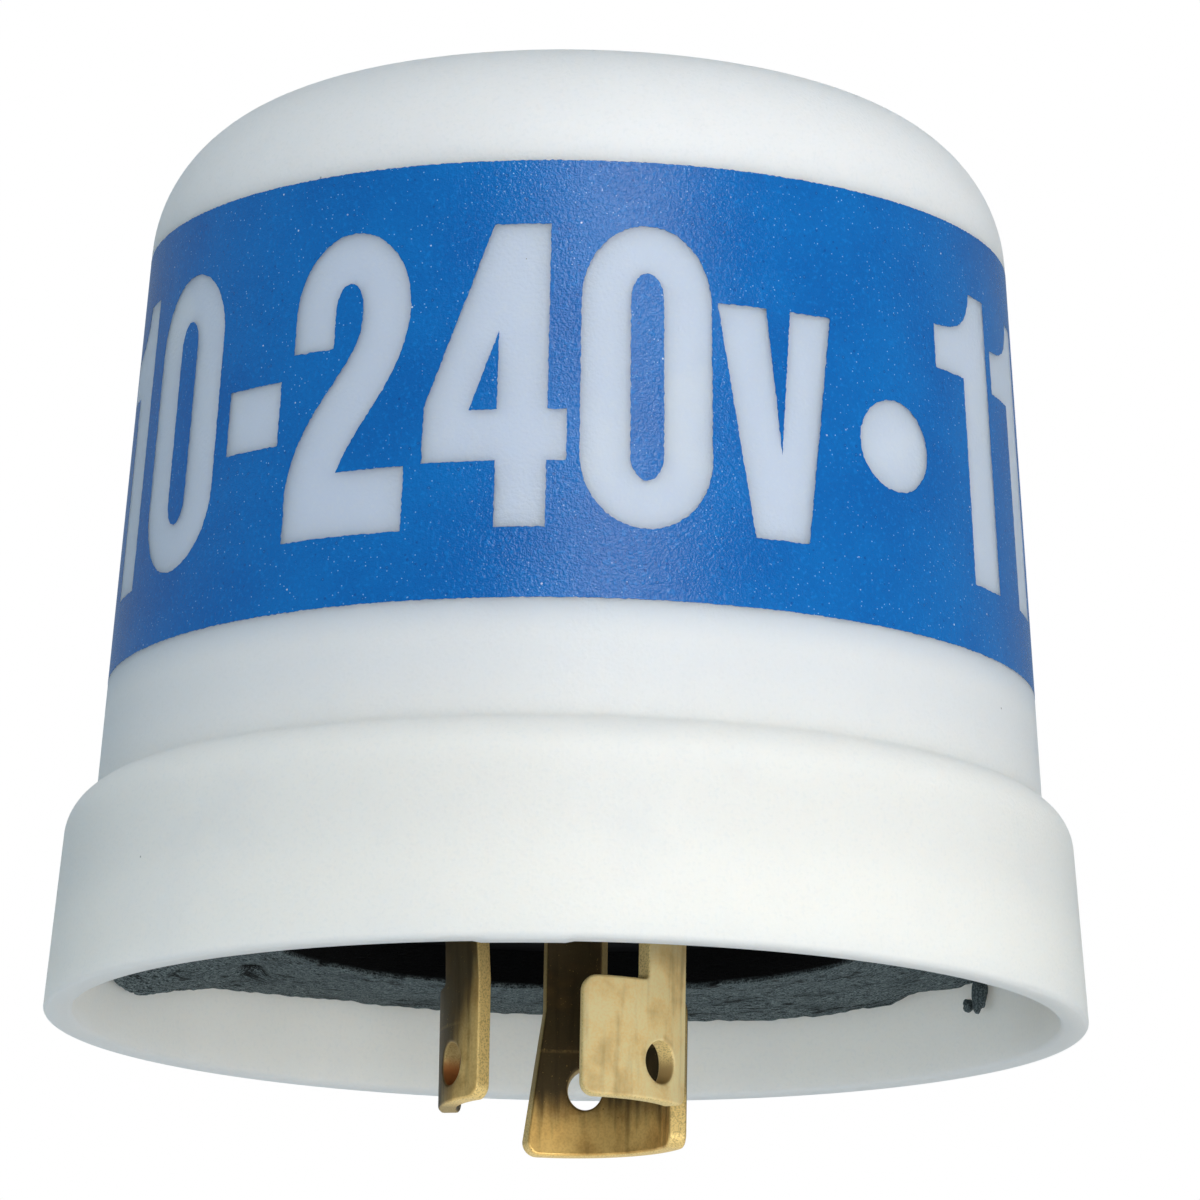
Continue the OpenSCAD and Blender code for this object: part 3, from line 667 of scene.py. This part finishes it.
def blue_ink():
    """Glossy screen ink with a fine grain, small pits, pinholes and pale specks that are painted glints.
    """
    look = Look("blue_ink")
    grain = look.noise(0.3 * MM, 2.0)
    fine = look.noise(0.15 * MM, 2.0)
    patch = look.noise(9 * MM, 3.0)
    pits = look.specks(0.8 * MM, 0.13 * MM, 0.35)
    pit_floors = look.specks(0.8 * MM, 0.06 * MM, 0.35)
    pinholes = look.specks(1.3 * MM, 0.08 * MM, 0.3) * patch.ramp(0.4, 0.6)
    # Painted glints: pale specks where the grain would catch the light
    painted_glints = look.specks(0.42 * MM, 0.055 * MM, 0.6) * patch.ramp(0.2, 0.55)
    blue = look.layers(INK_BLUE,
                       (PATCH_BLUE, patch.ramp(0.3, 0.7)),
                       (DEEP_BLUE, fine.ramp(0.5, 0.75) * 0.55),
                       (GRAIN_BLUE, grain.ramp(0.52, 0.72) * 0.6),
                       (PIT_BLUE, pits * 0.6),
                       (PIT_FLOOR_BLUE, pit_floors * 0.6),
                       (PAINTED_GLINT_BLUE, painted_glints * 0.75),
                       (PINHOLE_WHITE, pinholes * 0.85))
    return look.set(Base_Color=blue,
                    Roughness=fine * 0.12 + 0.19,
                    Normal=look.bump(grain + fine * 0.5 - pits * 0.3, 0.055 * MM),
                    Specular_IOR_Level=0.31)


# Gasket
def lay_around(bm):
    """A map that runs along the ring in one direction and across it in the other."""
    around = bm.loops.layers.uv.new("around")
    for face in bm.faces:
        middle = face.calc_center_median()
        turn = math.atan2(middle.y, middle.x)
        for loop in face.loops:
            point = loop.vert.co
            at = math.atan2(point.y, point.x)
            at += math.tau * round((turn - at) / math.tau)
            loop[around].uv = (at * GASKET_R, point.to_2d().length + point.z)


def rough(point, layers):
    """How far the foam stands out at a point, summed over layers of lumps."""
    return sum(noise.noise(point / width) * height for width, height in layers)


def torn_foam(point):
    """Where a point of the plain ring ends up on the torn one."""
    radius = point.to_2d().length
    turn = math.degrees(math.atan2(point.y, point.x))
    outward = Vector((point.x, point.y, 0)) / radius
    share = min(max((radius - SAG_FROM) / (GASKET_R - SAG_FROM), 0), 1)
    sag = sum(depth * math.exp(-((turn - at) / width) ** 2) for at, width, depth in SAGS)
    tear = TEAR_DEPTH * math.exp(-((turn - TEAR_TURN) / TEAR_WIDTH) ** 2)
    pit = PIT_DEPTH * math.exp(-(((point - PIT) * PIT_SHAPE).length / PIT_R) ** 2)
    at_edges = share ** 3 + HOLE_EDGE_SHARE * (1 - share) ** 6
    reach = (rough(point, EDGE_ROUGHNESS) - EDGE_TRIM) * at_edges - tear * share ** 4
    free = 1 - point.z / GASKET_T
    drop = (sag * share ** 2 - rough(point, FACE_ROUGHNESS) - pit) * free
    return point + outward * reach - Vector((0, 0, drop))


def add_shred(bm, turn, z, size):
    """A lump of foam that hangs at the skirt's wall."""
    made = bmesh.ops.create_icosphere(bm, subdivisions=4, radius=0.5)["verts"]
    across = Matrix.Rotation(math.radians(turn), 4, "Z")
    centre = across @ Vector((skirt_at(z, SKIRT_WALL) - size.x / 2 - SHRED_GAP, 0, z))
    for v in made:
        shaken = v.co * (1 + SHRED_SHAKE * noise.noise(v.co * SHRED_LUMPS + centre / MM))
        v.co = centre + across @ (shaken * size)


def foam_gasket(material):
    """A foam ring with a ragged, sagging outer edge and torn shreds left on the skirt's wall."""
    width = GASKET_R - GASKET_HOLE_R
    radii = [GASKET_HOLE_R + width * i / FACE_CUTS for i in range(FACE_CUTS + 1)]
    heights = [GASKET_T * i / EDGE_CUTS for i in range(1, EDGE_CUTS + 1)]
    outline = [(r, 0) for r in radii]
    outline += [(GASKET_R, z) for z in heights]
    outline += [(r, GASKET_T) for r in radii[::-TOP_CUT_EVERY]][1:]
    outline += [(GASKET_HOLE_R, GASKET_T - z) for z in heights]
    bm = lathe(outline, GASKET_STEPS)
    lay_around(bm)
    for v in bm.verts:
        v.co = torn_foam(v.co)
    for shred in SHREDS:
        add_shred(bm, *shred)
    make_piece(bm, "foam_gasket", material, "gasket", sharp=60)


def gasket_foam():
    """Slate foam with fibres along the ring, cracks, lint and a pit in painted shade; painted shade
    towards its hole.
    """
    look = Look("slate_foam")
    around = look.node("ShaderNodeUVMap", {"uv_map": "around"})
    fibre = look.noise(0.16 * MM, 3.0, look.stretched((0.16, 1, 1), around))
    fuzz = look.noise(0.16 * MM, 3.0)
    clump = look.noise(2.6 * MM, 4.0, look.stretched((0.4, 1, 1), around))
    split = look.noise(1.7 * MM, 6.0, look.stretched((0.16, 1, 1), around))
    lint = look.specks(1.3 * MM, 0.07 * MM, 0.22)
    cracks = (1 - abs(split - 0.5).ramp(0.0, 0.03)) * clump.ramp(0.48, 0.58)
    pale = fibre.ramp(0.38, 0.66) * 0.5 + fuzz.ramp(0.42, 0.62) * 0.5
    # Painted shade in the pit
    from_pit = look.measure("DISTANCE", look.stretched(PIT_SHAPE), PIT * PIT_SHAPE) + fuzz * PIT_R
    radius = look.measure("LENGTH", look.stretched((1, 1, 0)))
    # Painted shade on the wall of the hole and next to it
    near_hole_shade = 1 - radius.ramp(GASKET_HOLE_R, GASKET_HOLE_R + HOLE_SHADE_ACROSS)
    slate = look.layers(FOAM_DARK,
                        (FOAM_PALE, pale),
                        (CLUMP_GREY, clump.ramp(0.5, 0.7) * 0.45),
                        (CRACK_GREY, cracks * 0.9),
                        (LINT_GREY, lint * 0.8),
                        (PIT_PAINTED_SHADE, 1 - from_pit.ramp(1.1 * PIT_R, 1.7 * PIT_R)),
                        (HOLE_PAINTED_SHADE, near_hole_shade * look.axis("Z").ramp(0, HOLE_SHADE_UP)))
    return look.set(Base_Color=slate,
                    Roughness=0.95,
                    Normal=look.bump(fibre + fuzz * 0.8 - cracks, 0.14 * MM),
                    Specular_IOR_Level=0.15)


# Blades
def blade_outline(low, foot_w, flare):
    """A stem with a foot that runs to the left, an ear on each side in the hub and a solder tail."""
    back = STEM_W / 2
    front = back - foot_w
    heel = back + flare
    c, s = FOOT_CORNER, STEM_CORNER
    side = [(back, EAR_Z), (back + EAR_W, EAR_Z), (back + EAR_W, EAR_Z + EAR_H), (back, EAR_Z + EAR_H),
            (back, HUB_Z), (TAIL_W / 2, HUB_Z), (TAIL_W / 2, TAIL_TOP)]
    outline = arc((heel - c, low + c), (c, c), 270, 360, FOOT_STEPS) + [(back, FOOT_TOP)] + side
    outline += [(-x, z) for x, z in reversed(side)]
    outline += arc((-back - s, FOOT_TOP + s), (s, s), 0, -90, STEM_STEPS)
    outline += arc((front + c, FOOT_TOP - c), (c, c), 90, 180, FOOT_STEPS)
    outline += arc((front + c, low + c), (c, c), 180, 270, FOOT_STEPS)
    return [outline, circle((back - HOLE_IN, HOLE_Z), HOLE_D / 2, HOLE_STEPS)]


def blade(node, low, foot_w, flare, material):
    """A stamped blade, rolled from its flat outline to the circle that the blades stand on;
    one that was knocked sideways leans below the base."""
    bm = flat_sheet(blade_outline(low, foot_w, flare), BLADE_T, BLADE_EDGE)
    slice_along_x(bm, BLADE_CUT)
    turn = math.radians(BLADE_TURNS[node])
    lean = math.radians(BLADE_LEANS[node])
    flat = bm.loops.layers.uv.new("flat")
    edge = bm.verts.layers.float.new("edge")
    for v in bm.verts:
        v[edge] = min((BLADE_T / 2 - abs(v.co.z)) / BLADE_EDGE, 1)
    for face in bm.faces:
        for loop in face.loops:
            loop[flat].uv = loop.vert.co.xy
    for v in bm.verts:
        radius = BLADE_R - BLADE_T / 2 + v.co.z
        share = min(max((LEAN_TOP - v.co.y) / (LEAN_TOP - LEAN_LOW), 0), 1)
        at = turn + v.co.x / BLADE_R + lean * share * share * (3 - 2 * share)
        v.co = (radius * math.cos(at), radius * math.sin(at), v.co.y)
    bmesh.ops.recalc_face_normals(bm, faces=bm.faces)
    made = make_piece(bm, "brass_" + node, material, node, sharp=40)
    made.modifiers.new("even_normals", "WEIGHTED_NORMAL").keep_sharp = True


def stained_brass(name, tones, bore, metallic, darkening, lighter_below, fade, slant=0):
    """Brass with stains, a thin line across it and gritty sheared edges. It is darker and olive above a
    height, along a line that may slant across the blade, and the wall of its hole has a colour of its
    own."""
    look = Look(name)
    edge = look.node("ShaderNodeAttribute", {"attribute_name": "edge"}, out="Fac")
    flat = look.node("ShaderNodeUVMap", {"uv_map": "flat"})
    height = look.axis("Z")
    stain = look.noise(2.6 * MM, 5.0)
    run = look.noise(1.2 * MM, 3.0, look.stretched((1, 0.12, 1), flat))
    grain = look.noise(0.2 * MM, 3.0)
    grit = look.noise(0.15 * MM, 3.0)
    sheared = edge.ramp(0.1, 0.6)
    pits = look.specks(1.4 * MM, 0.09 * MM, 0.25) * (1 - sheared)
    from_hole = look.measure("DISTANCE", flat, (STEM_W / 2 - HOLE_IN, HOLE_Z, 0))
    at_hole = 1 - from_hole.ramp(0.5 * HOLE_D, 0.5 * HOLE_D + 0.8 * MM)
    low_wall = 1 - height.ramp(HOLE_Z - 0.4 * MM, HOLE_Z + 1 * MM)
    in_hole = sheared * (1 - from_hole.ramp(0.5 * HOLE_D, 0.56 * HOLE_D)) * low_wall
    # Darker and olive above a height, along a line that may slant across the blade
    slanted = height - look.axis("X", flat) * slant + (run - 0.5) * (1.6 * fade)
    dark = slanted.ramp(lighter_below - fade, lighter_below + fade) * darkening
    # A thin paler line across the dark part at one height
    thin_line = (1 - abs(height - LINE_Z).ramp(0.04 * MM, 0.2 * MM)) * grain.ramp(0.3, 0.6)
    dull = (stain.ramp(0.5, 0.72) * (0.12 + 0.3 * darkening)
            + run.ramp(0.5, 0.72) * (0.04 + 0.6 * darkening)
            + at_hole * stain.ramp(0.4, 0.6) * 0.3)
    olive = look.mix(OLIVE_DARK, OLIVE_PALE, stain.ramp(0.48, 0.75) * 0.7)
    brass = look.layers(tones[0],
                        (tones[1], grain.ramp(0.4, 0.65) * 0.4 + stain.ramp(0.4, 0.6) * 0.6),
                        (DULL_BRASS, dull),
                        (olive, dark),
                        (PALE_GRAIN, dark * grain.ramp(0.66, 0.72) * 0.6),
                        (LINE_BRASS, dark * thin_line * 0.4),
                        (PIT_BROWN, pits * 0.6),
                        (SHEARED_BRASS, sheared * (1 - dark * 0.6) * 0.9),
                        (GRIT_BROWN, sheared * grit.ramp(0.42, 0.72) * 0.5),
                        (bore, in_hole))
    return look.set(Base_Color=brass,
                    Metallic=metallic,
                    Roughness=dull * 0.1 + dark * 0.05 + grain * 0.1 + sheared * 0.1 + 0.38,
                    Normal=look.bump(grain * 0.25 + grit * sheared + stain * 0.5, 0.03 * MM, 0.7))


# Base and circuit
def shaded(colour, share):
    """The same colour with a share of its light."""
    return tuple(c * share for c in colour[:3]) + (1.0,)


def moulded(name, colour, roughness, specular=0.5):
    """Moulded or coated plastic with a fine grain and a little change of tone."""
    look = Look(name)
    grain = look.noise(0.5 * MM, 3.0)
    tone = look.noise(6 * MM, 3.0)
    return look.set(Base_Color=look.mix(colour, shaded(colour, 0.72), tone.ramp(0.35, 0.75)),
                    Roughness=grain * 0.15 + roughness,
                    Normal=look.bump(grain, 0.03 * MM, 0.5),
                    Specular_IOR_Level=specular)


def tinned(name, colour, roughness):
    """Plated or soldered metal, a little uneven."""
    look = Look(name)
    tone = look.noise(0.9 * MM, 3.0)
    return look.set(Base_Color=look.mix(colour, shaded(colour, 0.6), tone.ramp(0.45, 0.75)),
                    Metallic=1.0,
                    Roughness=tone * 0.25 + roughness,
                    Normal=look.bump(tone, 0.04 * MM, 0.4))


def laminate():
    """Green board with a woven glass pattern and paler copper tracks under the mask."""
    look = Look("board_laminate")
    thread = {"Vector": look.place, "Scale": 1 / WEAVE}
    warp, weft = (look.node("ShaderNodeTexWave", {"bands_direction": way}, thread) for way in "XY")
    tracks = look.noise(5 * MM, 0.0, look.stretched((1, 0.4, 0)))
    green = look.layers(BOARD_GREEN,
                        (WEAVE_GREEN, (warp + weft) * 0.5),
                        (TRACK_GREEN, tracks.ramp(0.55, 0.57)))
    return look.set(Base_Color=green,
                    Roughness=0.42 - tracks * 0.1,
                    Normal=look.bump(warp + weft, 0.02 * MM, 0.4))


def dress_nodes():
    """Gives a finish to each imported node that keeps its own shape."""
    looks = {
        "base_plate": moulded("black_base", rgb(3, 4, 5), 0.75, 0.1),
        "circuit_board": laminate(),
        "board_screws": tinned("screw_steel", rgb(186, 188, 190), 0.3),
        "solder_joints": tinned("solder", rgb(202, 204, 206), 0.25),
        "relay": moulded("relay_case", rgb(38, 62, 116), 0.42),
        "film_capacitor": moulded("film_case", rgb(214, 170, 54), 0.38),
        "smoothing_capacitor": moulded("can_sleeve", rgb(34, 36, 44), 0.35),
        "timing_capacitor": moulded("small_can_sleeve", rgb(34, 36, 44), 0.35),
        "surge_varistor": moulded("varistor_coat", rgb(36, 78, 160), 0.45),
        "rectifier_diodes": moulded("diode_body", rgb(28, 28, 30), 0.45),
        "zener_diode": moulded("zener_glass", rgb(188, 96, 44), 0.15),
        "resistors": moulded("resistor_coat", rgb(206, 180, 134), 0.5),
        "inrush_resistor": moulded("inrush_coat", rgb(112, 146, 158), 0.5),
        "switching_transistor": moulded("transistor_body", rgb(28, 28, 30), 0.5),
        "light_sensor": moulded("sensor_cell", rgb(200, 132, 56), 0.35),
        "sensor_holder": moulded("holder_plastic", rgb(232, 232, 226), 0.45),
    }
    for name, material in looks.items():
        parts[name].data.materials.clear()
        parts[name].data.materials.append(material)


# Stage
def softbox(name, azimuth, elevation, size, power, colour=WARM_LIGHT, mirrored=False):
    """An area lamp that looks at the object; azimuth 0 is the camera's side and 90 its right.
    Reflections show it only where it is mirrored."""
    lamp = bpy.data.lights.new(name, "AREA")
    lamp.shape = "RECTANGLE"
    lamp.size, lamp.size_y = size
    lamp.energy = power
    lamp.color = colour
    a, e = math.radians(azimuth), math.radians(elevation)
    aim = (cad_box[0] + cad_box[1]) / 2
    away = Vector((math.sin(a) * math.cos(e), -math.cos(a) * math.cos(e), math.sin(e)))
    holder = bpy.data.objects.new(name, lamp)
    holder.location = aim + away * LAMP_DISTANCE
    holder.visible_glossy = mirrored
    holder.rotation_mode = "QUATERNION"
    holder.rotation_quaternion = away.to_track_quat("Z", "Y")
    bpy.context.scene.collection.objects.link(holder)


def backdrop():
    """A white surround that lights softly."""
    world = bpy.data.worlds.new("studio")
    world.use_nodes = True
    studio = Nodes(world.node_tree)
    ambient, white = (studio.node("ShaderNodeBackground", inputs={"Color": colour, "Strength": strength})
                      for colour, strength in [(AMBIENT_BLUE, AMBIENT), (WHITE, 1.0)])
    inputs = {0: studio.seen(GLOSSY_WHITE), 1: ambient, 2: white}
    blend = studio.node("ShaderNodeMixShader", inputs=inputs)
    studio.feed(world.node_tree.nodes["World Output"].inputs["Surface"], blend)
    bpy.context.scene.world = world


def pale_floor():
    """A white floor far below, which keeps a soft shadow."""
    bm = bmesh.new()
    bmesh.ops.create_grid(bm, x_segments=4, y_segments=4, size=FLOOR_SIZE / 2)
    bmesh.ops.translate(bm, verts=bm.verts, vec=(0, 0, FLOOR_Z))
    mesh = bpy.data.meshes.new("floor")
    bm.to_mesh(mesh)
    bm.free()
    look = Look("pale_floor")
    look.set(Base_Color=FLOOR_PAINT, Roughness=0.9)
    lit = Field(look, look.shader.outputs[0])
    white = look.node("ShaderNodeEmission", inputs={"Color": WHITE, "Strength": 1.0})
    inputs = {0: look.seen(1.0) * FLOOR_WHITE, 1: lit, 2: white}
    blend = look.node("ShaderNodeMixShader", inputs=inputs)
    look.feed(look.tree.nodes["Material Output"].inputs["Surface"], blend)
    mesh.materials.append(look.material)
    floor = bpy.data.objects.new("floor", mesh)
    bpy.context.scene.collection.objects.link(floor)


def photo_camera():
    """The camera that took the photo: below the rim, looking up a little."""
    data = bpy.data.cameras.new("photo_camera")
    data.sensor_width = SENSOR
    data.lens = FOCAL_PX * SENSOR / PHOTO_PX
    data.clip_start, data.clip_end = CAMERA_NEAR, CAMERA_FAR
    back = -CAMERA_AHEAD.normalized()
    up = back.cross(CAMERA_RIGHT.normalized()).normalized()
    right = up.cross(back)
    turned = Matrix((right, up, back)).transposed().to_4x4()
    holder = bpy.data.objects.new("photo_camera", data)
    holder.matrix_world = Matrix.Translation(CAMERA_AT) @ turned
    bpy.context.scene.collection.objects.link(holder)
    bpy.context.scene.camera = holder


photo_camera()
backdrop()
pale_floor()
softbox("key", 11, 28, (0.35, 0.43), 5.3, mirrored=True)
softbox("low", 18, -19, (0.6, 0.3), 2.75, mirrored=True)
softbox("low_left", -92, -16, (0.5, 0.4), 2.1, COOL_LIGHT)
softbox("low_right", 58, -12, (0.5, 0.4), 2.35, AMBER_LIGHT)
softbox("sky", -115, 34, (0.6, 0.6), 0.5, COOL_LIGHT)
softbox("back", 165, 20, (0.8, 0.5), 2.2, COOL_LIGHT)
softbox("under", 178, -35, (0.9, 0.5), 0.8, COOL_LIGHT)
softbox("overhead", 230, 72, (0.8, 0.6), 0.8, COOL_LIGHT)
bpy.context.scene.view_settings.view_transform = "Standard"

cover(cover_plastic())
printed_band(blue_ink())
foam_gasket(gasket_foam())
# Each blade is darker above a height of its own
bright = stained_brass("bright_brass", CREAM_BRASS, STRAW_BORE, metallic=0.15, darkening=0.38,
                       lighter_below=-3 * MM, fade=1.2 * MM)
olive = stained_brass("olive_brass", PALE_BRASS, COPPER_BORE, metallic=0.6, darkening=0.92,
                      lighter_below=-10 * MM, fade=4.5 * MM, slant=2.0)
half_dark = stained_brass("half_bare_brass", WARM_BRASS, STRAW_BORE, metallic=0.7, darkening=0.95,
                          lighter_below=-12.8 * MM, fade=2.0 * MM)
blade("line_blade", FOOT_LOW, FOOT_W, 0, bright)
blade("load_blade", FOOT_LOW, FOOT_W, 0, olive)
blade("neutral_blade", NEUTRAL_LOW, NEUTRAL_FOOT_W, NEUTRAL_FLARE, half_dark)
dress_nodes()
